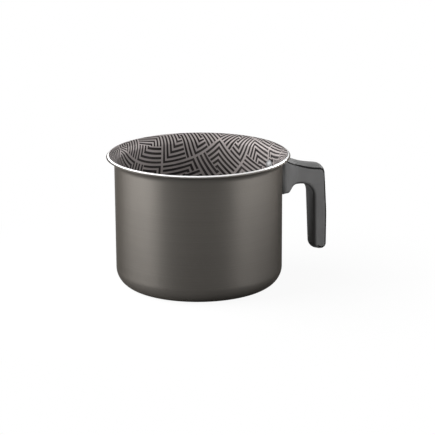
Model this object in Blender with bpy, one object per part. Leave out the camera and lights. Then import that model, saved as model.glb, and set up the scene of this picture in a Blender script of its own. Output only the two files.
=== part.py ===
"""Milk boiler: a deep-drawn aluminium pot with a flared pouring lip and a
moulded phenolic handle.

The handle hooks down at one side. Its root is a curved saddle that hides a
steel bracket. Two domed rivets hold the bracket to the pot wall, and one screw
from under the arm holds the handle to the bracket's tongue.

Frame: metres, +Z up, origin at the centre of the flat base, handle along +X.
"""

import math

import bmesh
import bpy
from mathutils import Matrix, Vector


# Pot: driving sizes
INNER_RADIUS = 0.0700
WALL_THICKNESS = 0.0018
BASE_THICKNESS = 0.0025
WALL_TAPER = 0.0004
CORNER_RADIUS = 0.0156
RIM_HEIGHT = 0.1144
LIP_RADIUS = 0.0083
LIP_TURN_DEG = 78.0
EDGE_TURN_DEG = 91.5
GROOVE_COUNT = 3
GROOVE_FIRST_RADIUS = 0.0160
GROOVE_PITCH = 0.0130
GROOVE_WIDTH = 0.0016
GROOVE_DEPTH = 0.0003

# Fits: faces that touch, and cuts that run past what they cut
SEAT_GAP = 0.0003
CUT_OVERRUN = 0.0040

# Handle: driving sizes, seen from the side and then across
ROOT_TOP_DROP = 0.0065
ROOT_HEIGHT = 0.0310
ROOT_LOBE_REACH = 0.0046
ROOT_LOBE_RADIUS = 0.0036
ROOT_LOBE_LEAN = 0.0057
FINGER_GAP = 0.0286
ARCH_RISE = 0.0061
ARCH_INNER_RADIUS = 0.0060
ARCH_GRIP_RADIUS = 0.0118
ARM_THICKNESS = 0.0126
ARM_SAG_REACH = 0.0146
ARM_SAG_DROP = 0.0088
ARM_SAG_RADIUS = 0.0700
GRIP_DEPTH = 0.0100
GRIP_LEAN = 0.0016
GRIP_BOW = 0.0025
GRIP_BOW_HEIGHT = 0.0560
GRIP_BOW_RADIUS = 0.1600
GRIP_END_HEIGHT = 0.0218
GRIP_END_SLANT = 0.0026
GRIP_END_INNER_RADIUS = 0.0046
GRIP_END_OUTER_RADIUS = 0.0044
HANDLE_CORNER_RADIUS = 0.0046
OUTER_EDGE_RADIUS = 0.0020
FINGER_EDGE_RADIUS = 0.0030
CROWN_HEIGHT = 0.0018
ARM_WIDTH = 0.0250
ROOT_WIDTH = 0.0390
ROOT_FLARE_START = 0.0020
ROOT_FLARE_LENGTH = 0.0135
GRIP_END_WIDTH = 0.0204

# Bracket in the saddle
BRACKET_THICKNESS = 0.0016
BRACKET_WIDTH = 0.0330
BRACKET_HEIGHT = 0.0150
BRACKET_CORNER_RADIUS = 0.0030
TONGUE_WIDTH = 0.0110
TONGUE_THICKNESS = 0.0020
TONGUE_LENGTH = 0.0205
TONGUE_CORNER_RADIUS = 0.0030

# Rivets
RIVET_DROP = 0.0190
RIVET_PITCH = 0.0246
RIVET_HEAD_RADIUS = 0.0052
RIVET_HEAD_HEIGHT = 0.0030
RIVET_EDGE_HEIGHT = 0.0005
RIVET_SHANK_RADIUS = 0.0020
RIVET_TAIL_RADIUS = 0.0034
RIVET_TAIL_HEIGHT = 0.0014

# Handle screw
SCREW_RADIUS = 0.0020
SCREW_LENGTH = 0.0080
SCREW_HEAD_RADIUS = 0.0037
SCREW_HEAD_HEIGHT = 0.0024
SCREW_RECESS_WIDTH = 0.0010
SCREW_RECESS_LENGTH = 0.0042
SCREW_RECESS_DEPTH = 0.0012
COUNTERBORE_DEPTH = 0.0030

# Facets
TURN_STEPS = 72
SMALL_STEPS = 24
ARC_STEPS = 8
EDGE_STEPS = 4
DOME_STEPS = 6
FLARE_STEPS = 6
CROWN_STEPS = 6
MERGE = 0.00001
SHARP_ANGLE = math.radians(38.0)

# Sizes worked out from those above
OUTER_RADIUS = INNER_RADIUS + WALL_THICKNESS
LIP_TURN = math.radians(LIP_TURN_DEG)
EDGE_TURN = math.radians(EDGE_TURN_DEG)
LIP_CENTRE_RADIUS = INNER_RADIUS + LIP_RADIUS
LIP_START = RIM_HEIGHT - LIP_RADIUS * math.sin(LIP_TURN)
SADDLE_RADIUS = OUTER_RADIUS + SEAT_GAP
ROOT_TOP = RIM_HEIGHT - ROOT_TOP_DROP
ROOT_BOTTOM = ROOT_TOP - ROOT_HEIGHT
ARCH_HEIGHT = ROOT_BOTTOM + ARCH_RISE
GRIP_INNER = OUTER_RADIUS + FINGER_GAP
GRIP_OUTER = GRIP_INNER + GRIP_DEPTH
GAP_MIDDLE = OUTER_RADIUS + FINGER_GAP / 2
FLARE_START = OUTER_RADIUS + ROOT_FLARE_START
RIVET_HEIGHT = RIM_HEIGHT - RIVET_DROP
RIVET_TURN = math.asin(RIVET_PITCH / 2 / INNER_RADIUS)
BRACKET_INNER = SADDLE_RADIUS
BRACKET_OUTER = BRACKET_INNER + BRACKET_THICKNESS
BRACKET_TOP = RIVET_HEIGHT + BRACKET_HEIGHT / 2
BRACKET_BOTTOM = RIVET_HEIGHT - BRACKET_HEIGHT / 2
TONGUE_END = BRACKET_OUTER + TONGUE_LENGTH
TONGUE_BOTTOM = BRACKET_BOTTOM
TONGUE_TOP = TONGUE_BOTTOM + TONGUE_THICKNESS
SCREW_REACH = TONGUE_END - TONGUE_WIDTH / 2
SCREW_SEAT = ARCH_HEIGHT + COUNTERBORE_DEPTH


def clear_scene():
    for obj in list(bpy.data.objects):
        bpy.data.objects.remove(obj, do_unlink=True)


def make_material(name, colour, roughness, metallic):
    """A Principled surface in the part's own colour."""
    material = bpy.data.materials.new(name)
    material.use_nodes = True
    shader = material.node_tree.nodes["Principled BSDF"]
    shader.inputs["Base Color"].default_value = (*colour, 1.0)
    shader.inputs["Roughness"].default_value = roughness
    shader.inputs["Metallic"].default_value = metallic
    material.diffuse_color = (*colour, 1.0)
    return material


def add_object(name, bm, material=None):
    """Puts a finished bmesh in the scene under its node's name."""
    bmesh.ops.recalc_face_normals(bm, faces=bm.faces)
    mesh = bpy.data.meshes.new(name)
    bm.to_mesh(mesh)
    bm.free()
    obj = bpy.data.objects.new(name, mesh)
    bpy.context.scene.collection.objects.link(obj)
    if material is not None:
        mesh.materials.append(material)
        mesh.shade_smooth()
        mesh.set_sharp_from_angle(angle=SHARP_ANGLE)
    return obj


def add_cutter(name, bm):
    """A guide that cuts or joins another piece and isn't a piece itself."""
    obj = add_object(name, bm)
    obj.hide_render = True
    obj.display_type = 'WIRE'
    return obj


def combine(target, other, operation='DIFFERENCE'):
    modifier = target.modifiers.new(other.name, 'BOOLEAN')
    modifier.operation = operation
    modifier.solver = 'EXACT'
    modifier.object = other


def arc(centre_x, centre_z, radius, start, end, steps=ARC_STEPS):
    """Points on an arc, both ends included, angles in radians."""
    points = []
    for step in range(steps + 1):
        angle = start + (end - start) * step / steps
        points.append((centre_x + radius * math.cos(angle), centre_z + radius * math.sin(angle)))
    return points


def rounded_outline(corners):
    """A closed outline whose corners, given as x, z, corner radius, edge
    radius and crown, are turned by arcs that run into both sides. Each point
    carries its corner's edge radius and crown."""
    points = []
    count = len(corners)
    for index, (x, z, radius, *edge) in enumerate(corners):
        corner = Vector((x, z))
        if radius == 0:
            points.append((x, z, *edge))
            continue
        before = (Vector(corners[index - 1][:2]) - corner).normalized()
        after = (Vector(corners[(index + 1) % count][:2]) - corner).normalized()
        half = before.angle(after) / 2
        centre = corner + (before + after).normalized() * (radius / math.sin(half))
        first = corner + before * (radius / math.tan(half)) - centre
        last = corner + after * (radius / math.tan(half)) - centre
        start = math.atan2(first.y, first.x)
        turn = math.atan2(first.x * last.y - first.y * last.x, first.dot(last))
        points += [(*point, *edge) for point in arc(centre.x, centre.y, radius, start, start + turn)]
    return points


def turned(name, profile, steps, material=None):
    """A turned piece: a profile from axis to axis, given as radius and height,
    swept once round Z by a Screw modifier."""
    mesh = bpy.data.meshes.new(name)
    edges = [(i, i + 1) for i in range(len(profile) - 1)]
    mesh.from_pydata([(r, 0, z) for r, z in profile], edges, [])
    obj = bpy.data.objects.new(name, mesh)
    bpy.context.scene.collection.objects.link(obj)
    sweep = obj.modifiers.new("sweep", 'SCREW')
    sweep.axis = 'Z'
    sweep.angle = math.tau
    sweep.steps = steps
    sweep.render_steps = steps
    sweep.use_merge_vertices = True
    sweep.merge_threshold = MERGE
    sweep.use_smooth_shade = True
    if material is None:
        obj.hide_render = True
        obj.display_type = 'WIRE'
    else:
        mesh.materials.append(material)
    return obj


def rod_profile(radius, bottom, top):
    """The outline of a plain round rod, top to bottom."""
    return [(0, top), (radius, top), (radius, bottom), (0, bottom)]


def block(low, high):
    """A bmesh box between two corners."""
    bm = bmesh.new()
    size = Vector(high) - Vector(low)
    centre = (Vector(high) + Vector(low)) / 2
    place = Matrix.Translation(centre) @ Matrix.Diagonal((*size, 1))
    bmesh.ops.create_cube(bm, size=1, matrix=place)
    return bm


def sector(inner, outer, bottom, top, half_turn, steps):
    """A bmesh of a curved plate: part of a ring about Z, centred on +X."""
    bm = bmesh.new()
    corners = [(inner, 0, bottom), (outer, 0, bottom), (outer, 0, top), (inner, 0, top)]
    face = bm.faces.new([bm.verts.new(corner) for corner in corners])
    turn_back = Matrix.Rotation(-half_turn, 3, 'Z')
    bmesh.ops.rotate(bm, verts=bm.verts, cent=Vector(), matrix=turn_back)
    bmesh.ops.spin(bm, geom=[face, *face.edges, *face.verts], cent=Vector(), axis=Vector((0, 0, 1)),
                   dvec=Vector(), angle=2 * half_turn, steps=steps, use_duplicate=False)
    bmesh.ops.remove_doubles(bm, verts=bm.verts, dist=MERGE)
    return bm


def radial_matrix(turn, height):
    """Stands a piece's own +Z outwards from the pot's axis, at one height."""
    return (Matrix.Translation((0, 0, height)) @ Matrix.Rotation(turn, 4, 'Z')
            @ Matrix.Rotation(math.pi / 2, 4, 'Y'))


def base_grooves():
    """The turned rings under the base, from the outside in."""
    points = []
    for index in reversed(range(GROOVE_COUNT)):
        middle = GROOVE_FIRST_RADIUS + GROOVE_PITCH * index
        outer = middle + GROOVE_WIDTH / 2
        inner = middle - GROOVE_WIDTH / 2
        points += [(outer, 0), (outer - GROOVE_DEPTH, GROOVE_DEPTH)]
        points += [(inner + GROOVE_DEPTH, GROOVE_DEPTH), (inner, 0)]
    return points


def pot_profile():
    """Half section of the drawn shell: up the inside, round the lip, down the
    outside and back to the axis under the base."""
    inner_corner = CORNER_RADIUS - WALL_THICKNESS
    inner_foot = INNER_RADIUS - WALL_TAPER
    outer_foot = OUTER_RADIUS - WALL_TAPER
    profile = [(0, BASE_THICKNESS)]
    profile += arc(inner_foot - inner_corner, BASE_THICKNESS + inner_corner, inner_corner,
                   -math.pi / 2, 0)
    profile += arc(LIP_CENTRE_RADIUS, LIP_START, LIP_RADIUS, math.pi, math.pi - LIP_TURN)
    profile += arc(LIP_CENTRE_RADIUS, LIP_START, LIP_RADIUS - WALL_THICKNESS,
                   math.pi - EDGE_TURN, math.pi)
    profile += arc(outer_foot - CORNER_RADIUS, CORNER_RADIUS, CORNER_RADIUS, 0, -math.pi / 2)
    profile += base_grooves()
    profile.append((0, 0))
    return profile


def rivet_bore(name, turn, radius, inner, outer):
    bore = turned(name, rod_profile(radius, inner, outer), SMALL_STEPS)
    bore.matrix_world = radial_matrix(turn, RIVET_HEIGHT)
    return bore


def make_pot():
    """The drawn shell, with the two rivet holes through its wall."""
    material = make_material("outer_coat", (0.135, 0.125, 0.112), 0.42, 0.6)
    pot = turned("pot_body", pot_profile(), TURN_STEPS, material)
    for side, turn in (("front", -RIVET_TURN), ("rear", RIVET_TURN)):
        bore = rivet_bore("wall_bore_" + side, turn, RIVET_SHANK_RADIUS + SEAT_GAP,
                          INNER_RADIUS - CUT_OVERRUN, OUTER_RADIUS + CUT_OVERRUN)
        combine(pot, bore)
    return pot


def handle_corners():
    """The handle's side outline, corner by corner, from the root's underside
    round the finger gap and the grip to the top of the arm."""
    hidden = OUTER_RADIUS - CUT_OVERRUN
    lobe = OUTER_RADIUS + ROOT_LOBE_REACH
    grip_foot = GRIP_END_HEIGHT + GRIP_END_SLANT
    arm_outer_top = ARCH_HEIGHT + ARM_THICKNESS
    sag_reach = OUTER_RADIUS + ARM_SAG_REACH
    sag_height = ROOT_TOP - ARM_SAG_DROP
    slope = (ROOT_TOP - sag_height) / ARM_SAG_REACH
    finger = (FINGER_EDGE_RADIUS, 0)
    back = (OUTER_EDGE_RADIUS, CROWN_HEIGHT)
    return [
        (hidden, ROOT_BOTTOM, 0, *finger),
        (lobe, ROOT_BOTTOM, ROOT_LOBE_RADIUS, *finger),
        (lobe + ROOT_LOBE_LEAN, ARCH_HEIGHT, ARCH_INNER_RADIUS, *finger),
        (GRIP_INNER, ARCH_HEIGHT, ARCH_GRIP_RADIUS, *finger),
        (GRIP_INNER + GRIP_LEAN, grip_foot, GRIP_END_INNER_RADIUS, FINGER_EDGE_RADIUS, CROWN_HEIGHT),
        (GRIP_OUTER + GRIP_BOW, GRIP_END_HEIGHT, GRIP_END_OUTER_RADIUS, *back),
        (GRIP_OUTER + GRIP_BOW, GRIP_BOW_HEIGHT, GRIP_BOW_RADIUS, *back),
        (GRIP_OUTER, arm_outer_top, HANDLE_CORNER_RADIUS, *back),
        (sag_reach, sag_height, ARM_SAG_RADIUS, *back),
        (hidden, ROOT_TOP + slope * CUT_OVERRUN, 0, *back),
    ]


def smooth_share(value, start, length):
    """0 before a stretch and 1 after it, with a smooth turn at both ends."""
    share = min(max((value - start) / length, 0), 1)
    return share * share * (3 - 2 * share)


def handle_width(x, z):
    """The handle's width: wide at the saddle, even along the arm, and
    narrowing down the grip."""
    flare = 1 - smooth_share(x, FLARE_START, ROOT_FLARE_LENGTH)
    narrow = min(max((ARCH_HEIGHT - z) / (ARCH_HEIGHT - GRIP_END_HEIGHT), 0), 1)
    width = ARM_WIDTH + (ROOT_WIDTH - ARM_WIDTH) * flare
    return width + (GRIP_END_WIDTH - ARM_WIDTH) * narrow if x > GAP_MIDDLE else width


def outline_ring(outline, width_share, edge_angle):
    """The side outline at one place across the width: crowned between the
    edge rounds, which end at a width share of 1, and drawn in along them."""
    ring = []
    for index, (x, z, radius, crown) in enumerate(outline):
        before = Vector(outline[index - 1][:2])
        after = Vector(outline[(index + 1) % len(outline)][:2])
        inward = (after - before).orthogonal().normalized()
        depth = radius * (1 - math.cos(edge_angle)) - crown * (1 - width_share ** 2)
        place = Vector((x, z)) + inward * depth
        round_width = math.copysign(radius * math.sin(edge_angle), width_share)
        across = (ARM_WIDTH / 2 - radius) * width_share + round_width
        ring.append((place.x, across, place.y))
    return ring


def outline_rings():
    """The handle's side outline repeated from its front side to its rear."""
    outline = rounded_outline(handle_corners())
    angles = [math.pi / 2 * step / EDGE_STEPS for step in range(EDGE_STEPS + 1)]
    rings = [outline_ring(outline, -1, angle) for angle in reversed(angles)]
    rings += [outline_ring(outline, 2 * step / CROWN_STEPS - 1, 0) for step in range(1, CROWN_STEPS)]
    rings += [outline_ring(outline, 1, angle) for angle in angles]
    return rings


def handle_blank():
    """The moulding before its pocket: rings of the side outline joined by
    faces, then its width drawn in or flared."""
    bm = bmesh.new()
    rings = [[bm.verts.new(point) for point in ring] for ring in outline_rings()]
    for ring, other in zip(rings, rings[1:]):
        for index, vert in enumerate(ring):
            bm.faces.new((ring[index - 1], vert, other[index], other[index - 1]))
    bm.faces.new(rings[0])
    bm.faces.new(rings[-1])
    bmesh.ops.recalc_face_normals(bm, faces=bm.faces)
    for index in range(FLARE_STEPS + 1):
        reach = FLARE_START + ROOT_FLARE_LENGTH * index / FLARE_STEPS
        bmesh.ops.bisect_plane(bm, geom=[*bm.verts, *bm.edges, *bm.faces], dist=MERGE,
                               plane_co=Vector((reach, 0, 0)), plane_no=Vector((1, 0, 0)))
    bmesh.ops.bisect_plane(bm, geom=[*bm.verts, *bm.edges, *bm.faces], dist=MERGE,
                           plane_co=Vector((0, 0, ARCH_HEIGHT)), plane_no=Vector((0, 0, 1)))
    for vert in bm.verts:
        vert.co.y *= handle_width(vert.co.x, vert.co.z) / ARM_WIDTH
    return bm


def saddle_profile():
    """The pot's wall and the underside of its lip with the seat gap added."""
    lip_room = LIP_RADIUS - WALL_THICKNESS - SEAT_GAP
    low = ROOT_BOTTOM - CUT_OVERRUN
    profile = [(0, LIP_START + lip_room)]
    profile += arc(LIP_CENTRE_RADIUS, LIP_START, lip_room, math.pi / 2, math.pi)
    profile += [(SADDLE_RADIUS, low), (0, low)]
    return profile


def make_handle():
    """The moulded handle with its saddle, bracket pocket and screw hole."""
    material = make_material("phenolic", (0.095, 0.095, 0.097), 0.45, 0.0)
    handle = add_object("handle", handle_blank(), material)

    combine(handle, turned("saddle_cut", saddle_profile(), TURN_STEPS))

    half_turn = math.asin((BRACKET_WIDTH / 2 + SEAT_GAP) / BRACKET_OUTER)
    plate = sector(SADDLE_RADIUS - CUT_OVERRUN, BRACKET_OUTER + SEAT_GAP,
                   BRACKET_BOTTOM - SEAT_GAP, BRACKET_TOP + SEAT_GAP, half_turn, ARC_STEPS)
    combine(handle, add_cutter("plate_pocket", plate))

    slot_half = TONGUE_WIDTH / 2 + SEAT_GAP
    slot = block((BRACKET_INNER, -slot_half, TONGUE_BOTTOM - SEAT_GAP),
                 (TONGUE_END + SEAT_GAP, slot_half, TONGUE_TOP + SEAT_GAP))
    combine(handle, add_cutter("tongue_slot", slot))

    tail_end = BRACKET_OUTER + SEAT_GAP + RIVET_TAIL_HEIGHT + SEAT_GAP
    for side, turn in (("front", -RIVET_TURN), ("rear", RIVET_TURN)):
        combine(handle, rivet_bore("tail_pocket_" + side, turn, RIVET_TAIL_RADIUS + SEAT_GAP,
                                   BRACKET_INNER, tail_end))

    head_radius = SCREW_HEAD_RADIUS + SEAT_GAP
    shank_radius = SCREW_RADIUS + SEAT_GAP
    shank_top = SCREW_SEAT + SCREW_LENGTH + SEAT_GAP
    below = ARCH_HEIGHT - CUT_OVERRUN
    stepped = [(0, shank_top), (shank_radius, shank_top), (shank_radius, SCREW_SEAT + SEAT_GAP),
               (head_radius, SCREW_SEAT + SEAT_GAP), (head_radius, below), (0, below)]
    hole = turned("screw_hole", stepped, SMALL_STEPS)
    hole.location.x = SCREW_REACH
    combine(handle, hole)
    return handle


def make_bracket():
    """The pressed steel bracket: a curved plate on the pot wall, with a flat
    tongue that reaches out into the arm."""
    material = make_material("bracket_steel", (0.46, 0.46, 0.47), 0.38, 1.0)
    half_turn = math.asin(BRACKET_WIDTH / 2 / BRACKET_OUTER)
    plate = sector(BRACKET_INNER, BRACKET_OUTER, BRACKET_BOTTOM, BRACKET_TOP, half_turn, ARC_STEPS)
    side = [vert for vert in plate.verts
            if abs(abs(math.atan2(vert.co.y, vert.co.x)) - half_turn) < MERGE]
    ends = [edge for edge in plate.edges
            if edge.verts[0] in side and edge.verts[1] in side
            and abs(edge.verts[0].co.z - edge.verts[1].co.z) < MERGE]
    bmesh.ops.bevel(plate, geom=ends, offset=BRACKET_CORNER_RADIUS, offset_type='OFFSET',
                    affect='EDGES', segments=EDGE_STEPS, profile=0.5, material=-1)
    bracket = add_object("handle_bracket", plate, material)

    half = TONGUE_WIDTH / 2
    middle = (BRACKET_INNER + BRACKET_OUTER) / 2
    tongue = block((middle, -half, TONGUE_BOTTOM), (TONGUE_END, half, TONGUE_TOP))
    tip = [edge for edge in tongue.edges
           if min(vert.co.x for vert in edge.verts) > TONGUE_END - MERGE
           and abs(edge.verts[0].co.z - edge.verts[1].co.z) > MERGE]
    bmesh.ops.bevel(tongue, geom=tip, offset=TONGUE_CORNER_RADIUS, offset_type='OFFSET',
                    affect='EDGES', segments=EDGE_STEPS, profile=0.5, material=-1)
    combine(bracket, add_cutter("tongue", tongue), 'UNION')

    for side, turn in (("front", -RIVET_TURN), ("rear", RIVET_TURN)):
        combine(bracket, rivet_bore("plate_bore_" + side, turn, RIVET_SHANK_RADIUS + SEAT_GAP,
                                    BRACKET_INNER - CUT_OVERRUN, BRACKET_OUTER + CUT_OVERRUN))
    tapping = turned("tongue_bore", rod_profile(SCREW_RADIUS + SEAT_GAP, TONGUE_BOTTOM - CUT_OVERRUN,
                                                TONGUE_TOP + CUT_OVERRUN), SMALL_STEPS)
    tapping.location.x = SCREW_REACH
    combine(bracket, tapping)
    return bracket


def rivet_profile():
    """A rivet from its formed tail, outside, to its domed head in the pot."""
    wall_sag = INNER_RADIUS - math.sqrt(INNER_RADIUS ** 2 - RIVET_HEAD_RADIUS ** 2)
    seat = INNER_RADIUS - wall_sag - SEAT_GAP
    edge = seat - RIVET_EDGE_HEIGHT
    tail_seat = BRACKET_OUTER + SEAT_GAP
    tail_end = tail_seat + RIVET_TAIL_HEIGHT
    tail_round = RIVET_TAIL_HEIGHT / 2
    dome_rise = RIVET_HEAD_HEIGHT - RIVET_EDGE_HEIGHT
    dome_radius = (RIVET_HEAD_RADIUS ** 2 + dome_rise ** 2) / (2 * dome_rise)
    dome_half = math.asin(RIVET_HEAD_RADIUS / dome_radius)
    profile = [(0, tail_end)]
    profile += arc(RIVET_TAIL_RADIUS - tail_round, tail_end - tail_round, tail_round,
                   math.pi / 2, 0, EDGE_STEPS)
    profile += [(RIVET_TAIL_RADIUS, tail_seat), (RIVET_SHANK_RADIUS, tail_seat)]
    profile += [(RIVET_SHANK_RADIUS, seat), (RIVET_HEAD_RADIUS, seat)]
    dome = arc(0, edge - dome_rise + dome_radius, dome_radius, dome_half - math.pi / 2, -math.pi / 2,
               DOME_STEPS)
    profile += dome[:-1]
    profile.append((0, edge - dome_rise))
    return profile


def make_rivet(name, turn, material):
    rivet = turned(name, rivet_profile(), SMALL_STEPS, material)
    rivet.matrix_world = radial_matrix(turn, RIVET_HEIGHT)
    return rivet


def make_screw():
    """The pan-head screw, driven up from under the arm."""
    material = make_material("screw_steel", (0.52, 0.52, 0.53), 0.32, 1.0)
    head_end = SCREW_SEAT - SCREW_HEAD_HEIGHT
    head_round = SCREW_HEAD_HEIGHT / 2
    top = SCREW_SEAT + SCREW_LENGTH
    tip = SCREW_RADIUS / 2
    profile = [(0, top), (SCREW_RADIUS - tip, top), (SCREW_RADIUS, top - tip)]
    profile += [(SCREW_RADIUS, SCREW_SEAT), (SCREW_HEAD_RADIUS, SCREW_SEAT)]
    profile += arc(SCREW_HEAD_RADIUS - head_round, head_end + head_round, head_round,
                   0, -math.pi / 2, EDGE_STEPS)
    profile.append((0, head_end))
    screw = turned("handle_screw", profile, SMALL_STEPS, material)
    screw.location.x = SCREW_REACH
    half = SCREW_RECESS_WIDTH / 2
    reach = SCREW_RECESS_LENGTH / 2
    low = head_end - CUT_OVERRUN
    high = head_end + SCREW_RECESS_DEPTH
    for name, across, along in (("recess_across", half, reach), ("recess_along", reach, half)):
        cross = block((SCREW_REACH - across, -along, low), (SCREW_REACH + across, along, high))
        combine(screw, add_cutter(name, cross))
    return screw


def main():
    clear_scene()
    make_pot()
    make_handle()
    make_bracket()
    rivet_material = make_material("rivet_aluminium", (0.72, 0.72, 0.73), 0.3, 1.0)
    make_rivet("rivet_front", -RIVET_TURN, rivet_material)
    make_rivet("rivet_rear", RIVET_TURN, rivet_material)
    make_screw()


main()
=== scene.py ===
import math
from typing import NamedTuple

import bmesh
import bpy
from mathutils import Matrix, Vector


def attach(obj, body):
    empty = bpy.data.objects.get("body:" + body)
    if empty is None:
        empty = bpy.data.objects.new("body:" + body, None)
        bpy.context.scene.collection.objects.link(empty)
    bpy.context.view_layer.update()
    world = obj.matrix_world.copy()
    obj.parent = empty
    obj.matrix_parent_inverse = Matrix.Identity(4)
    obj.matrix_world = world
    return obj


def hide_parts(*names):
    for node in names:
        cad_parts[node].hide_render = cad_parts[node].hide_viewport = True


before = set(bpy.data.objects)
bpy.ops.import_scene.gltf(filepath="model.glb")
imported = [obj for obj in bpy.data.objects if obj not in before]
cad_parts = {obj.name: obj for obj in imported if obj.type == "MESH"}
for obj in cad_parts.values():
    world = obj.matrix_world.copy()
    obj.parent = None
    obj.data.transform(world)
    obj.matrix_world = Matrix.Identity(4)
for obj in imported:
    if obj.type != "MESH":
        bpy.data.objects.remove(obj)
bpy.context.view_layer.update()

MM = 0.001

# The drawn pot, as in the CAD model

INNER_RADIUS = 70.0 * MM
WALL = 1.8 * MM
WALL_TAPER = 0.4 * MM
BASE = 2.5 * MM
CORNER_RADIUS = 15.6 * MM
RIM_HEIGHT = 114.4 * MM
LIP_RADIUS = 8.3 * MM
LIP_TURN = math.radians(78.0)
EDGE_TURN = math.radians(91.5)
GROOVE_RADII = (16.0 * MM, 29.0 * MM, 42.0 * MM)
GROOVE_WIDTH = 1.6 * MM
GROOVE_DEPTH = 0.3 * MM

LIP_START = RIM_HEIGHT - LIP_RADIUS * math.sin(LIP_TURN)
LIP_CENTRE = INNER_RADIUS + LIP_RADIUS

# The coats: how proud they stand, how deep they sink into the metal, where the enamel stops under the base,
# where it turns round the lip's lower corner, counted in coats, and how much of the lip's cut edge it covers

COAT = 0.06 * MM
COAT_SINK = 0.05 * MM
TURNED_BASE_RADIUS = 54.0 * MM
ENAMEL_CORNER = Vector((2.4, -1.0))
EDGE_COVER = 0.42

# How finely the shapes are turned, joined and shaded, and how level a normal is that still counts as upright

TURNS = 240
ROUND_STEPS = 18
INNER_CORNER_STEPS = 16
PRINT_STEPS = 44
SEAM_GAP = 0.001 * MM
COPY_GAP = 0.002 * MM
FLAT_ANGLE = math.radians(0.5)
CRISP_ANGLE = math.radians(33.0)
UPRIGHT = 0.3

# The handle's marks of painted shade: their names, where the arch and the saddle end, and between which
# shares of its normal, inward or sideways, a surface goes from no mark to a full one

EDGE_SHADE = "painted_edge_shade"
FINGER_SHADE = "painted_finger_shade"
ARCH_FOOT = 50.0 * MM
SADDLE_END = 88.0 * MM
INWARD_SPAN = (0.2, 0.6)
BACK_EDGE_SPAN = (0.05, 0.3)
ARCH_EDGE_SPAN = (0.2, 0.42)
FLAT_SIDE_SPAN = (0.975, 0.998)

# The print: its layout in blocks and stripes, and how drawing the pot stretched it, per metre of height

FLAT_PRINT = "flat_print"
PRINT_TURN = math.radians(8.0)
PRINT_BLOCK = 75.0 * MM
PRINT_LINES = 8.0
PRINT_SHIFT = (-1.89, -1.23, 0.0)
PRINT_COLUMN_STEP = 3.0
PRINT_ROW_STEP = 2.0
PRINT_CYCLE = 7.0
PRINT_TURNED_FROM = 2.5
HOOK_REACH = 2.4
HOOK_LOSS = 0.6
STRIPE_EDGE = (0.23, 0.31)
PLAIN_LINE_EDGE = (PRINT_LINES / 2.0 - 0.3, PRINT_LINES / 2.0 - 0.22)
PRINT_STRETCH = 4.0
PRINT_WALL_STRETCH = 12.0
PRINT_LIP_RELEASE = 6.0
PRINT_WALL_HEIGHT = 42.0 * MM
PRINT_LIP_HEIGHT = 92.0 * MM
PRINT_EASE = 5.0 * MM

# Finishes: the rings' share in the enamel's tone, how metallic the trimmed rim looks, how much rougher the
# handle's edges with painted shade are, and how far from its middle the parting line starts and ends to fade

ENAMEL_RING_SHARE = 0.45
RIM_SHINE = 0.3
EDGE_SHADE_ROUGHNESS = 0.45
PARTING_LINE_EDGE = (0.06 * MM, 0.16 * MM)

# Colours, in linear light

ENAMEL_DARK = (0.111, 0.103, 0.093)
ENAMEL_LIGHT = (0.153, 0.142, 0.129)
ENAMEL_CLOUD = (0.125, 0.117, 0.108)
ENAMEL_GLOSS = (0.3, 0.28, 0.26)
INNER_COAT_DARK = (0.31, 0.28, 0.273)
INNER_COAT_LIGHT = (0.41, 0.371, 0.362)
STRIPE_DARK = (0.008, 0.007, 0.007)
STRIPE_LIGHT = (0.02, 0.017, 0.017)
BARE_DARK = (0.92, 0.92, 0.915)
BARE_LIGHT = (1.0, 1.0, 0.995)
PHENOLIC_DARK = (0.16, 0.159, 0.159)
PHENOLIC_LIGHT = (0.183, 0.182, 0.181)
PHENOLIC_SPECK = (0.19, 0.189, 0.188)
# Painted shade on the handle: its darker finger side and its near-black edges
PHENOLIC_FINGER_SHADE = (0.048, 0.048, 0.048)
PHENOLIC_EDGE_SHADE = (0.008, 0.008, 0.008)
PHENOLIC_GLOSS = (0.2, 0.2, 0.2)
RIVET_DARK = (0.18, 0.18, 0.183)
RIVET_LIGHT = (0.25, 0.25, 0.253)
BRACKET_DARK = (0.48, 0.48, 0.47)
BRACKET_LIGHT = (0.6, 0.6, 0.59)
SCREW_DARK = (0.55, 0.54, 0.53)
SCREW_LIGHT = (0.68, 0.67, 0.65)
TABLE_BOUNCE = (0.32, 0.32, 0.32)
WHITE = (1.0, 1.0, 1.0)

# Shapes


class Corner(NamedTuple):
    """A corner of a half section: distance from the axis, height, radius of its round, steps of the round."""
    out: float
    up: float
    rounding: float = 0.0
    steps: int = 0


def half_section(corners):
    """A new shape with a line through the corners in the XZ plane, rounded where they ask for it."""
    shape = bmesh.new()
    points = [shape.verts.new((corner.out, 0.0, corner.up)) for corner in corners]
    for first, second in zip(points, points[1:]):
        shape.edges.new((first, second))
    for place, corner in enumerate(corners):
        if corner.rounding:
            point = points[place]
            before = (points[place - 1].co - point.co).normalized()
            after = (points[place + 1].co - point.co).normalized()
            reach = corner.rounding / math.tan(before.angle(after) / 2.0)
            bmesh.ops.bevel(shape, geom=[point], offset=reach, offset_type="OFFSET", segments=corner.steps,
                            profile=0.5, affect="VERTICES", material=-1, clamp_overlap=False)
    return shape


def lathe(shape):
    """Turns a half section once round the pot's axis and closes its seam and poles."""
    geometry = shape.verts[:] + shape.edges[:]
    bmesh.ops.spin(shape, geom=geometry, cent=(0.0, 0.0, 0.0), axis=(0.0, 0.0, 1.0),
                   angle=2.0 * math.pi, steps=TURNS, use_merge=True)
    bmesh.ops.remove_doubles(shape, verts=shape.verts[:], dist=SEAM_GAP)
    bmesh.ops.recalc_face_normals(shape, faces=shape.faces[:])


def lip_corner(radius, turn):
    """Where the wall's line and the lip's last direction meet, for a lip round of that radius and turn."""
    return LIP_CENTRE - radius, LIP_START + radius * math.tan(turn / 2.0)


def lip_end(radius, turn):
    """Where a lip round of that radius and turn ends."""
    return LIP_CENTRE - radius * math.cos(turn), LIP_START + radius * math.sin(turn)


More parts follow.
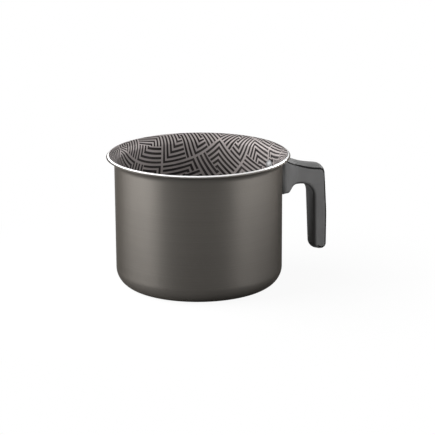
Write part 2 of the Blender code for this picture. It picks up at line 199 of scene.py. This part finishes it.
def inner_section(proud):
    """The pot's inside from the axis to the rim, standing proud by a coat."""
    foot = INNER_RADIUS - WALL_TAPER - proud
    radius = LIP_RADIUS + proud
    return [Corner(0.0, BASE + proud),
            Corner(foot, BASE + proud, CORNER_RADIUS - WALL - proud, INNER_CORNER_STEPS),
            Corner(INNER_RADIUS - proud, LIP_START),
            Corner(LIP_CENTRE - radius, LIP_START),
            Corner(*lip_corner(radius, LIP_TURN), radius, ROUND_STEPS),
            Corner(*lip_end(radius, LIP_TURN))]


def outer_section(proud):
    """The pot's outside from the base's corner to the cut edge of its lip, standing proud by a coat."""
    foot = INNER_RADIUS + WALL - WALL_TAPER + proud
    radius = LIP_RADIUS - WALL - proud
    low = Vector(lip_end(LIP_RADIUS - WALL, EDGE_TURN))
    edge = Vector(lip_end(LIP_RADIUS, LIP_TURN)) - low
    off_edge = Vector((edge.y, -edge.x)).normalized()
    return [Corner(foot, -proud, CORNER_RADIUS + proud, ROUND_STEPS),
            Corner(INNER_RADIUS + WALL + proud, LIP_START),
            Corner(*lip_corner(radius, EDGE_TURN), radius, ROUND_STEPS),
            Corner(*lip_end(radius, EDGE_TURN)),
            Corner(*(low + ENAMEL_CORNER * proud)),
            Corner(*(low + edge * EDGE_COVER + off_edge * proud))]


def turned_base():
    """The underside from the axis outwards, with its turned grooves."""
    corners = [Corner(0.0, 0.0)]
    for radius in GROOVE_RADII:
        for shift, depth in ((-0.5, 0.0), (-0.25, GROOVE_DEPTH), (0.25, GROOVE_DEPTH), (0.5, 0.0)):
            corners.append(Corner(radius + shift * GROOVE_WIDTH, depth))
    return corners


def face_from_axis(shape, away):
    """Turns an open coat's faces away from the pot's axis, or towards it."""
    upright = [face for face in shape.faces if abs(face.normal.z) < UPRIGHT]
    wall = max(upright, key=lambda face: face.calc_center_median().xy.length)
    if (wall.normal.xy.dot(wall.calc_center_median().xy) > 0.0) != away:
        bmesh.ops.reverse_faces(shape, faces=shape.faces[:])


def flat_radius(radius, height):
    """Where a point of the inside lay on the flat printed disc, before the disc was drawn into a pot."""
    rise = height - BASE
    up_wall, up_lip = [PRINT_EASE * math.log1p(math.exp((rise - start) / PRINT_EASE))
                       for start in (PRINT_WALL_HEIGHT, PRINT_LIP_HEIGHT)]
    growth = PRINT_STRETCH * rise + PRINT_WALL_STRETCH * up_wall - PRINT_LIP_RELEASE * up_lip
    return radius * math.exp(growth)


def lay_print(shape):
    """Keeps the print's flat layout as a UV map."""
    flat = shape.loops.layers.uv.new(FLAT_PRINT)
    for face in shape.faces:
        for loop in face.loops:
            x, y, z = loop.vert.co
            radius = math.hypot(x, y)
            stretch = flat_radius(radius, z) / radius if radius > COAT else 1.0
            loop[flat].uv = (x * stretch, y * stretch)


def merged_copy(node):
    """A copy of a CAD node with its loose triangles joined into one skin."""
    shape = bmesh.new()
    shape.from_mesh(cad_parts[node].data)
    bmesh.ops.remove_doubles(shape, verts=shape.verts[:], dist=COPY_GAP)
    bmesh.ops.dissolve_limit(shape, angle_limit=FLAT_ANGLE, verts=shape.verts[:], edges=shape.edges[:])
    return shape


def ease(value, low, high):
    """Rises softly from 0 to 1 as a value goes from low to high."""
    share = min(max((value - low) / (high - low), 0.0), 1.0)
    return share * share * (3.0 - 2.0 * share)


def mark_handle(shape):
    """Marks the handle's painted shade: near-black rounded edges, and a darker finger side where it faces the
    pot or lies under the arch.
    """
    shape.normal_update()
    edge_shade = shape.verts.layers.float.new(EDGE_SHADE)
    finger_shade = shape.verts.layers.float.new(FINGER_SHADE)
    for point in shape.verts:
        normal = point.normal
        on_saddle = point.co.x < SADDLE_END
        to_pot = 0.0 if on_saddle else -normal.x
        under_arch = -normal.z if point.co.z > ARCH_FOOT else 0.0
        inward = max(to_pot, under_arch)
        # Faces towards the pot, and faces under the arch, get a darker painted shade.
        point[finger_shade] = ease(inward, *INWARD_SPAN)
        upright_flare = on_saddle and abs(normal.z) < UPRIGHT
        # Rounded edges away from the finger side get a near-black painted shade.
        if inward < INWARD_SPAN[0] and not upright_flare:
            sideways = abs(normal.y)
            edge_span = BACK_EDGE_SPAN if normal.x > abs(normal.z) else ARCH_EDGE_SPAN
            point[edge_shade] = ease(sideways, *edge_span) * (1.0 - ease(sideways, *FLAT_SIDE_SPAN))


# Scene objects


def add_object(name, data):
    made = bpy.data.objects.new(name, data)
    bpy.context.scene.collection.objects.link(made)
    return made


def new_mesh(name, shape, material):
    mesh = bpy.data.meshes.new(name)
    shape.to_mesh(mesh)
    shape.free()
    mesh.materials.append(material)
    return mesh


def finish_piece(name, shape, material, slot, *nodes):
    """Makes a smooth piece with crisp edges that stands for its CAD nodes and rides on the pot."""
    piece = add_object(name, new_mesh(name, shape, material))
    piece.data.shade_smooth()
    piece.data.set_sharp_from_angle(angle=CRISP_ANGLE)
    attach(piece, "root")
    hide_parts(*nodes)
    return piece


def thicken(piece):
    """Gives a coat its thickness away from the side that shows, so that it sinks a little into the metal."""
    layer = piece.modifiers.new("coat_thickness", "SOLIDIFY")
    layer.thickness = COAT + COAT_SINK
    layer.offset = -1.0


# Material nodes


def new_finish(name):
    material = bpy.data.materials.new(name)
    material.use_nodes = True
    return material, material.node_tree, material.node_tree.nodes["Principled BSDF"]


def feed(tree, node, inputs):
    """Gives a node's inputs values, or links them to other nodes' outputs. A colour is three numbers."""
    for place, value in inputs.items():
        socket = node.inputs[place]
        if isinstance(value, bpy.types.NodeSocket):
            tree.links.new(value, socket)
        elif socket.type == "RGBA":
            socket.default_value = (*value, 1.0)
        else:
            socket.default_value = value


def put(tree, kind, inputs=(), **settings):
    """Adds a node, sets its properties and feeds its inputs."""
    made = tree.nodes.new(kind)
    for name, value in settings.items():
        setattr(made, name, value)
    feed(tree, made, dict(inputs))
    return made


def calc(tree, operation, *values):
    return put(tree, "ShaderNodeMath", enumerate(values), operation=operation).outputs[0]


def spread(tree, value, low, high, to_low=0.0, to_high=1.0, kind="LINEAR"):
    """Goes evenly from one value to another while the given value goes from low to high."""
    return put(tree, "ShaderNodeMapRange", {"Value": value, "From Min": low, "From Max": high,
                                            "To Min": to_low, "To Max": to_high},
               interpolation_type=kind).outputs["Result"]


def fade(tree, value, low, high, to_low=1.0, to_high=0.0):
    """Goes softly from one value to another while the given value goes from low to high."""
    return spread(tree, value, low, high, to_low, to_high, "SMOOTHSTEP")


def vary(tree, noise, low=0.0, high=1.0):
    """Spreads a noise, most of which lies between 0.3 and 0.7, over the values from low to high."""
    return spread(tree, noise, 0.3, 0.7, low, high)


def tint(tree, share, first, second):
    mixed = put(tree, "ShaderNodeMix", {"Factor": share}, data_type="RGBA")
    feed(tree, mixed, {6: first, 7: second})
    return mixed.outputs[2]


def grain(tree, place, scale, detail=2.0, roughness=0.5, stretch=None):
    """A noise in cycles per metre, stretched along an axis if asked."""
    if stretch:
        place = put(tree, "ShaderNodeMapping", {"Vector": place, "Scale": stretch}).outputs[0]
    return put(tree, "ShaderNodeTexNoise", {"Vector": place, "Scale": scale, "Detail": detail,
                                            "Roughness": roughness}).outputs[0]


def object_place(tree):
    return put(tree, "ShaderNodeTexCoord").outputs["Object"]


def axes(tree, vector):
    return put(tree, "ShaderNodeSeparateXYZ", {0: vector}).outputs[:]


def length(tree, vector):
    return put(tree, "ShaderNodeVectorMath", {0: vector}, operation="LENGTH").outputs["Value"]


def mark(tree, name):
    return put(tree, "ShaderNodeAttribute", attribute_name=name).outputs["Fac"]


def relief(tree, shader, *layers):
    """Raises and sinks a surface by layers, each with its heights, its depth and its strength."""
    normal = None
    for heights, depth, strength in layers:
        bump = put(tree, "ShaderNodeBump", {"Height": heights, "Distance": depth, "Strength": strength})
        if normal:
            feed(tree, bump, {"Normal": normal})
        normal = bump.outputs[0]
    feed(tree, shader, {"Normal": normal})


def ray_kinds(tree):
    """Two shares, each 0 or 1: that a ray shows a thing to the camera, and that it is a mirrored one."""
    paths = put(tree, "ShaderNodeLightPath").outputs
    shown = calc(tree, "MAXIMUM", paths["Is Camera Ray"], paths["Is Transmission Ray"])
    return shown, paths["Is Glossy Ray"]


# Finishes


def outer_enamel_finish():
    """Graphite metallic enamel, satin, with the fine rings of the spun wall under it."""
    material, tree, shader = new_finish("graphite_enamel")
    place = object_place(tree)
    rings = grain(tree, place, scale=1.0, detail=3.0, roughness=0.6, stretch=(4.0, 4.0, 2600.0))
    flake = grain(tree, place, scale=5200.0, detail=1.0)
    cloud = grain(tree, place, scale=34.0, detail=3.0)
    ring_part = calc(tree, "MULTIPLY", rings, ENAMEL_RING_SHARE)
    flake_part = calc(tree, "MULTIPLY", flake, 1.0 - ENAMEL_RING_SHARE)
    share = calc(tree, "ADD", ring_part, flake_part)
    grey = tint(tree, vary(tree, share), ENAMEL_DARK, ENAMEL_LIGHT)
    clouded = spread(tree, cloud, 0.35, 0.7, 0.0, 0.25)
    feed(tree, shader, {
        "Base Color": tint(tree, clouded, grey, ENAMEL_CLOUD),
        "Roughness": vary(tree, share, 0.36, 0.44),
        "Metallic": 0.85,
        "Specular Tint": ENAMEL_GLOSS,
        "Anisotropic": 0.6,
        "Anisotropic Rotation": 0.25,
        "Tangent": put(tree, "ShaderNodeTangent", direction_type="RADIAL", axis="Z").outputs[0]})
    relief(tree, shader, (rings, 0.004 * MM, 1.0), (flake, 0.004 * MM, 0.6))
    return material


def print_places(tree):
    """The column and row of a point's block, and the point's x and y from its block's middle, in stripes."""
    flat = put(tree, "ShaderNodeUVMap", uv_map=FLAT_PRINT).outputs[0]
    laid = put(tree, "ShaderNodeMapping", {"Vector": flat, "Location": PRINT_SHIFT,
                                           "Rotation": (0.0, 0.0, -PRINT_TURN),
                                           "Scale": (1.0 / PRINT_BLOCK, 1.0 / PRINT_BLOCK, 1.0)}).outputs[0]
    blocks = axes(tree, laid)[:2]
    counts = [calc(tree, "FLOOR", block) for block in blocks]
    shares = [calc(tree, "SUBTRACT", calc(tree, "FRACT", block), 0.5) for block in blocks]
    return counts + [calc(tree, "MULTIPLY", share, PRINT_LINES) for share in shares]


def block_plan(tree, column, row):
    """Where on its diagonal a block's two sets of stripes meet, and whether its x and y change places.

    Both come from one whole number that is counted from the block's column and row."""
    rows = calc(tree, "MULTIPLY", row, PRINT_ROW_STEP)
    count = calc(tree, "MULTIPLY_ADD", column, PRINT_COLUMN_STEP, rows)
    count = calc(tree, "FLOORED_MODULO", count, PRINT_CYCLE)
    from_middle = calc(tree, "ABSOLUTE", calc(tree, "SUBTRACT", count, (PRINT_CYCLE - 1.0) / 2.0))
    reach = calc(tree, "SUBTRACT", HOOK_REACH, calc(tree, "MULTIPLY", from_middle, HOOK_LOSS))
    odd = calc(tree, "FLOORED_MODULO", calc(tree, "ADD", column, row), 2.0)
    outward = calc(tree, "MULTIPLY", calc(tree, "GREATER_THAN", odd, 0.5),
                   calc(tree, "GREATER_THAN", from_middle, 0.5))
    side = calc(tree, "SUBTRACT", 1.0, calc(tree, "MULTIPLY", outward, 2.0))
    meeting = calc(tree, "MULTIPLY", calc(tree, "FLOOR", reach), side)
    return meeting, calc(tree, "GREATER_THAN", count, PRINT_TURNED_FROM)


def printed_stripes(tree):
    """How dark each point of the inner coat is printed.

    Square blocks of parallel stripes have plain lines between them. In each block the stripes turn square
    corners from two opposite corners and hook into each other where they meet."""
    column, row, x, y = print_places(tree)
    meeting, turned = block_plan(tree, column, row)
    swap = calc(tree, "MULTIPLY", calc(tree, "SUBTRACT", y, x), turned)
    along = calc(tree, "SUBTRACT", calc(tree, "ADD", x, swap), meeting)
    across = calc(tree, "SUBTRACT", calc(tree, "SUBTRACT", y, swap), meeting)
    above = calc(tree, "GREATER_THAN", across, 0.0)
    side = calc(tree, "SUBTRACT", calc(tree, "MULTIPLY", above, 2.0), 1.0)
    line = calc(tree, "MAXIMUM", calc(tree, "MULTIPLY", along, side), calc(tree, "ABSOLUTE", across))
    from_stripe = calc(tree, "ABSOLUTE", calc(tree, "SUBTRACT", calc(tree, "FRACT", line), 0.5))
    from_middle = calc(tree, "MAXIMUM", calc(tree, "ABSOLUTE", x), calc(tree, "ABSOLUTE", y))
    return calc(tree, "MULTIPLY", fade(tree, from_stripe, *STRIPE_EDGE),
                fade(tree, from_middle, *PLAIN_LINE_EDGE))


def inner_coat_finish():
    """Warm grey pearly non-stick coat with the dark stripes printed on it, a little worn."""
    material, tree, shader = new_finish("printed_non_stick")
    place = object_place(tree)
    dark = printed_stripes(tree)
    speck = grain(tree, place, scale=4200.0, detail=1.5)
    cloud = grain(tree, place, scale=60.0, detail=3.0)
    worn = calc(tree, "MULTIPLY", dark, vary(tree, cloud, 0.9, 1.0))
    ground = tint(tree, spread(tree, speck, 0.35, 0.65), INNER_COAT_DARK, INNER_COAT_LIGHT)
    stripe = tint(tree, spread(tree, speck, 0.35, 0.7), STRIPE_DARK, STRIPE_LIGHT)
    feed(tree, shader, {
        "Base Color": tint(tree, worn, ground, stripe),
        "Roughness": spread(tree, worn, 0.0, 1.0, 0.56, 0.85),
        "Metallic": spread(tree, worn, 0.0, 1.0, 0.2, 0.0),
        "Specular IOR Level": 0.12})
    relief(tree, shader, (speck, 0.01 * MM, 0.7), (worn, 0.015 * MM, 0.5))
    return material


def turned_aluminium_finish():
    """Bare aluminium with fine lathe rings: bright at the base, matt and near white at the trimmed rim."""
    material, tree, shader = new_finish("turned_aluminium")
    place = object_place(tree)
    level = put(tree, "ShaderNodeVectorMath", {0: place, 1: (1.0, 1.0, 0.0)}, operation="MULTIPLY").outputs[0]
    rings = put(tree, "ShaderNodeTexNoise", {"W": length(tree, level), "Scale": 5200.0, "Detail": 3.0},
                noise_dimensions="1D").outputs[0]
    cloud = grain(tree, place, scale=90.0)
    height = axes(tree, place)[2]
    feed(tree, shader, {
        "Base Color": tint(tree, vary(tree, rings), BARE_DARK, BARE_LIGHT),
        "Roughness": vary(tree, cloud, 0.2, 0.3),
        "Metallic": spread(tree, height, BASE, LIP_START, 1.0, RIM_SHINE)})
    relief(tree, shader, (rings, 0.002 * MM, 1.0))
    return material


def phenolic_finish():
    """Satin moulded phenolic with a faint orange skin and the mould's parting line, with painted shade:
    near-black, rougher edges and a darker finger side.
    """
    material, tree, shader = new_finish("moulded_phenolic")
    place = object_place(tree)
    skin = grain(tree, place, scale=1400.0)
    fine = grain(tree, place, scale=5600.0, detail=1.0)
    cloud = grain(tree, place, scale=45.0, detail=3.0)
    edge_shade = mark(tree, EDGE_SHADE)
    specked = spread(tree, fine, 0.55, 0.8, 0.0, 0.4)
    clouded_edge_shade = calc(tree, "MULTIPLY", edge_shade, vary(tree, cloud, 0.95, 1.0))
    colour = tint(tree, vary(tree, cloud), PHENOLIC_DARK, PHENOLIC_LIGHT)
    # Specks, then the painted shade of the finger side and of the edges, over the clouded colour
    for share, other in ((specked, PHENOLIC_SPECK), (mark(tree, FINGER_SHADE), PHENOLIC_FINGER_SHADE),
                         (clouded_edge_shade, PHENOLIC_EDGE_SHADE)):
        colour = tint(tree, share, colour, other)
    rougher = calc(tree, "MULTIPLY", edge_shade, EDGE_SHADE_ROUGHNESS)
    feed(tree, shader, {
        "Base Color": colour,
        "Roughness": calc(tree, "ADD", vary(tree, skin, 0.4, 0.5), rougher),
        "Metallic": edge_shade,
        "Specular IOR Level": 0.6,
        "Specular Tint": PHENOLIC_GLOSS})
    from_middle = calc(tree, "ABSOLUTE", axes(tree, place)[1])
    parting_line = fade(tree, from_middle, *PARTING_LINE_EDGE)
    relief(tree, shader, (skin, 0.03 * MM, 0.6), (fine, 0.008 * MM, 0.5), (parting_line, 0.05 * MM, 0.6))
    return material


def rivet_finish():
    """Pressed aluminium, tumbled to a soft shine."""
    material, tree, shader = new_finish("tumbled_aluminium")
    place = object_place(tree)
    dents = grain(tree, place, scale=900.0, detail=4.0, roughness=0.6)
    fine = grain(tree, place, scale=5000.0)
    feed(tree, shader, {
        "Base Color": tint(tree, vary(tree, dents), RIVET_DARK, RIVET_LIGHT),
        "Roughness": vary(tree, fine, 0.55, 0.65),
        "Metallic": 1.0})
    relief(tree, shader, (dents, 0.02 * MM, 0.4), (fine, 0.006 * MM, 0.4))
    return material


def steel_finish(name, dark, light, roughness):
    """Plated steel with rolled grain."""
    material, tree, shader = new_finish(name)
    place = object_place(tree)
    rolled = grain(tree, place, scale=1.0, detail=3.0, roughness=0.6, stretch=(900.0, 900.0, 60.0))
    blotch = grain(tree, place, scale=220.0)
    feed(tree, shader, {
        "Base Color": tint(tree, vary(tree, blotch), dark, light),
        "Roughness": vary(tree, rolled, roughness, roughness + 0.12),
        "Metallic": 1.0})
    relief(tree, shader, (rolled, 0.01 * MM, 0.5))
    return material


# Pieces


def pot_shell():
    """The drawn aluminium pot itself, which shows at its rim and its turned base."""
    shape = half_section(turned_base() + outer_section(0.0) + inner_section(0.0)[::-1])
    lathe(shape)
    finish_piece("pot_shell", shape, turned_aluminium_finish(), "bare_aluminium", "pot_body")


def outer_enamel():
    """The coat outside: lip, wall and corner, down to the turned base."""
    shape = half_section([Corner(TURNED_BASE_RADIUS, -COAT)] + outer_section(COAT))
    lathe(shape)
    face_from_axis(shape, away=True)
    thicken(finish_piece("outer_enamel", shape, outer_enamel_finish(), "outer_coat", "pot_body"))


def inner_coat():
    """The printed coat inside, its wall cut into enough rings for the print to follow its stretch."""
    shape = half_section(inner_section(COAT))
    wall = max(shape.edges, key=lambda edge: abs(edge.verts[0].co.z - edge.verts[1].co.z))
    bmesh.ops.subdivide_edges(shape, edges=[wall], cuts=PRINT_STEPS)
    lathe(shape)
    face_from_axis(shape, away=False)
    lay_print(shape)
    thicken(finish_piece("inner_coat", shape, inner_coat_finish(), "inner_coat", "pot_body"))


def handle():
    """The moulded handle, shaded evenly over its long faces."""
    shape = merged_copy("handle")
    mark_handle(shape)
    piece = finish_piece("moulded_handle", shape, phenolic_finish(), "phenolic", "handle")
    piece.modifiers.new("even_shading", "WEIGHTED_NORMAL").keep_sharp = True


def rivets():
    """The two rivets through the wall, in one finish."""
    finish = rivet_finish()
    for side in ("front", "rear"):
        node = "rivet_" + side
        finish_piece(side + "_rivet", merged_copy(node), finish, "rivet_aluminium", node)


def hidden_fixings():
    """The bracket and the screw that the handle hides."""
    finish_piece("pressed_bracket", merged_copy("handle_bracket"),
                 steel_finish("bracket_steel", BRACKET_DARK, BRACKET_LIGHT, roughness=0.3),
                 "bracket_steel", "handle_bracket")
    finish_piece("pan_head_screw", merged_copy("handle_screw"),
                 steel_finish("screw_steel", SCREW_DARK, SCREW_LIGHT, roughness=0.24),
                 "screw_steel", "handle_screw")


# Camera, as the photograph was taken: 17 degrees to the left of the handle's side view, with the focal
# length and the width of the picture in its pixels and the sensor in millimetres

CAMERA_SIDE = math.radians(17.0)
CAMERA_RISE = math.radians(15.55)
CAMERA_ROLL = math.radians(0.34)
CAMERA_DISTANCE = 2.0
CAMERA_AIM_HEIGHT = 57.6 * MM
CAMERA_AIM_SIDE = 16.1 * MM
PICTURE_FOCUS = 2325.0
PICTURE_WIDTH = 435.0
SENSOR = 36.0


def direction(bearing, rise):
    """A direction from its bearing round the pot's axis and its rise above level."""
    return Vector((math.cos(bearing) * math.cos(rise), math.sin(bearing) * math.cos(rise), math.sin(rise)))


CAMERA_BEARING = math.radians(-90.0) - CAMERA_SIDE
TO_CAMERA = direction(CAMERA_BEARING, CAMERA_RISE)


def place_camera():
    """The camera, which looks at a point on the pot's axis moved a little to the right of the picture."""
    rightward = direction(-CAMERA_SIDE, 0.0)
    upward = TO_CAMERA.cross(rightward)
    rolled_right = rightward * math.cos(CAMERA_ROLL) - upward * math.sin(CAMERA_ROLL)
    rolled_up = rightward * math.sin(CAMERA_ROLL) + upward * math.cos(CAMERA_ROLL)
    aim = rightward * CAMERA_AIM_SIDE + Vector((0.0, 0.0, CAMERA_AIM_HEIGHT))
    turn = Matrix((rolled_right, rolled_up, TO_CAMERA)).transposed().to_4x4()
    camera = add_object("camera", bpy.data.cameras.new("camera"))
    camera.data.sensor_width = SENSOR
    camera.data.lens = PICTURE_FOCUS * SENSOR / PICTURE_WIDTH
    camera.matrix_world = Matrix.Translation(aim + TO_CAMERA * CAMERA_DISTANCE) @ turn
    bpy.context.scene.camera = camera


# Studio: the lamps' aim, the table, the world's fill, the mirrored backdrop and ceiling by the direction in
# which they lie, and the table's glow to the camera and to mirrors by the distance from the pot's middle

LAMP_AIM_HEIGHT = 55.0 * MM
TABLE_REACH = 3.0
TABLE_DROP = 0.1 * MM
FILL_LIGHT = 0.25
SIDE_BACKDROP = 0.1
BACKDROP_SPAN = (0.3, 0.9)
CEILING_SPAN = (0.3, 0.6)
SHADOW_GLOW = 0.93
SHADOW_SPAN = (80.0 * MM, 260.0 * MM)
MIRROR_GLOW = 0.5
MIRROR_SPAN = (100.0 * MM, 500.0 * MM)


def softbox(name, bearing, rise, distance, width, height, brightness):
    """A lamp aimed at the pot. Its bearing in degrees goes from the camera to the right of the picture."""
    to_lamp = direction(CAMERA_BEARING + math.radians(bearing), math.radians(rise))
    aim = Vector((0.0, 0.0, LAMP_AIM_HEIGHT))
    lamp = bpy.data.lights.new(name, "AREA")
    lamp.shape = "RECTANGLE"
    lamp.size = width
    lamp.size_y = height
    lamp.energy = brightness * math.pi * width * height
    turn = to_lamp.to_track_quat("Z", "Y").to_matrix().to_4x4()
    box = add_object(name, lamp)
    box.matrix_world = Matrix.Translation(aim + to_lamp * distance) @ turn
    return box


def softboxes():
    """A lamp at each side, the right one for reflections alone, and one in front that isn't reflected."""
    softbox("left_softbox", bearing=-85.0, rise=22.0,
            distance=0.75, width=0.86, height=0.55, brightness=9.3)
    right = softbox("right_softbox", bearing=92.0, rise=25.0,
                    distance=0.5, width=0.95, height=0.36, brightness=7.0)
    right.visible_diffuse = False
    front = softbox("front_fill", bearing=24.0, rise=6.0,
                    distance=1.5, width=1.0, height=0.7, brightness=5.4)
    front.visible_glossy = False


def studio_world():
    """White to the camera, a bright backdrop and ceiling in reflections, and a weak fill otherwise."""
    world = bpy.data.worlds.new("studio")
    bpy.context.scene.world = world
    world.use_nodes = True
    tree = world.node_tree
    tree.nodes.clear()
    shown, mirrored = ray_kinds(tree)
    outward = put(tree, "ShaderNodeTexCoord").outputs["Generated"]
    ahead = put(tree, "ShaderNodeVectorMath", {0: outward, 1: tuple(-TO_CAMERA)}, operation="DOT_PRODUCT")
    backdrop = fade(tree, ahead.outputs["Value"], *BACKDROP_SPAN, SIDE_BACKDROP, 1.0)
    ceiling = fade(tree, axes(tree, outward)[2], *CEILING_SPAN, 0.0, 1.0)
    to_mirrors = calc(tree, "MULTIPLY", mirrored, calc(tree, "MAXIMUM", backdrop, ceiling))
    fill = calc(tree, "MULTIPLY", calc(tree, "SUBTRACT", 1.0, mirrored), FILL_LIGHT)
    level = calc(tree, "MAXIMUM", shown, calc(tree, "ADD", to_mirrors, fill))
    light = put(tree, "ShaderNodeBackground", {"Color": WHITE, "Strength": level}).outputs[0]
    put(tree, "ShaderNodeOutputWorld", {"Surface": light})


def white_table_finish():
    """Matt white with a share of white glow, which grows with the distance from the pot.

    So the camera sees pure white, and near the pot a soft shadow stays."""
    material, tree, shader = new_finish("white_table")
    shown, mirrored = ray_kinds(tree)
    feed(tree, shader, {
        "Base Color": tint(tree, shown, TABLE_BOUNCE, WHITE),
        "Roughness": 0.9,
        "Specular IOR Level": 0.0})
    distance = length(tree, object_place(tree))
    to_camera = calc(tree, "MULTIPLY", shown, fade(tree, distance, *SHADOW_SPAN, SHADOW_GLOW, 1.0))
    to_mirrors = calc(tree, "MULTIPLY", mirrored, fade(tree, distance, *MIRROR_SPAN, 0.0, MIRROR_GLOW))
    share = calc(tree, "MAXIMUM", to_camera, to_mirrors)
    glow = put(tree, "ShaderNodeEmission", {"Color": WHITE, "Strength": 1.0}).outputs[0]
    mixed = put(tree, "ShaderNodeMixShader", {0: share, 1: shader.outputs[0], 2: glow}).outputs[0]
    feed(tree, tree.nodes["Material Output"], {"Surface": mixed})
    return material


def white_table():
    """A wide white table, just under the pot's base."""
    shape = bmesh.new()
    bmesh.ops.create_grid(shape, x_segments=2, y_segments=2, size=TABLE_REACH)
    bmesh.ops.translate(shape, verts=shape.verts[:], vec=(0.0, 0.0, -TABLE_DROP))
    table = add_object("table", new_mesh("table", shape, white_table_finish()))


pot_shell()
outer_enamel()
inner_coat()
handle()
rivets()
hidden_fixings()
place_camera()
softboxes()
studio_world()
white_table()

bpy.context.scene.view_settings.view_transform = "Standard"
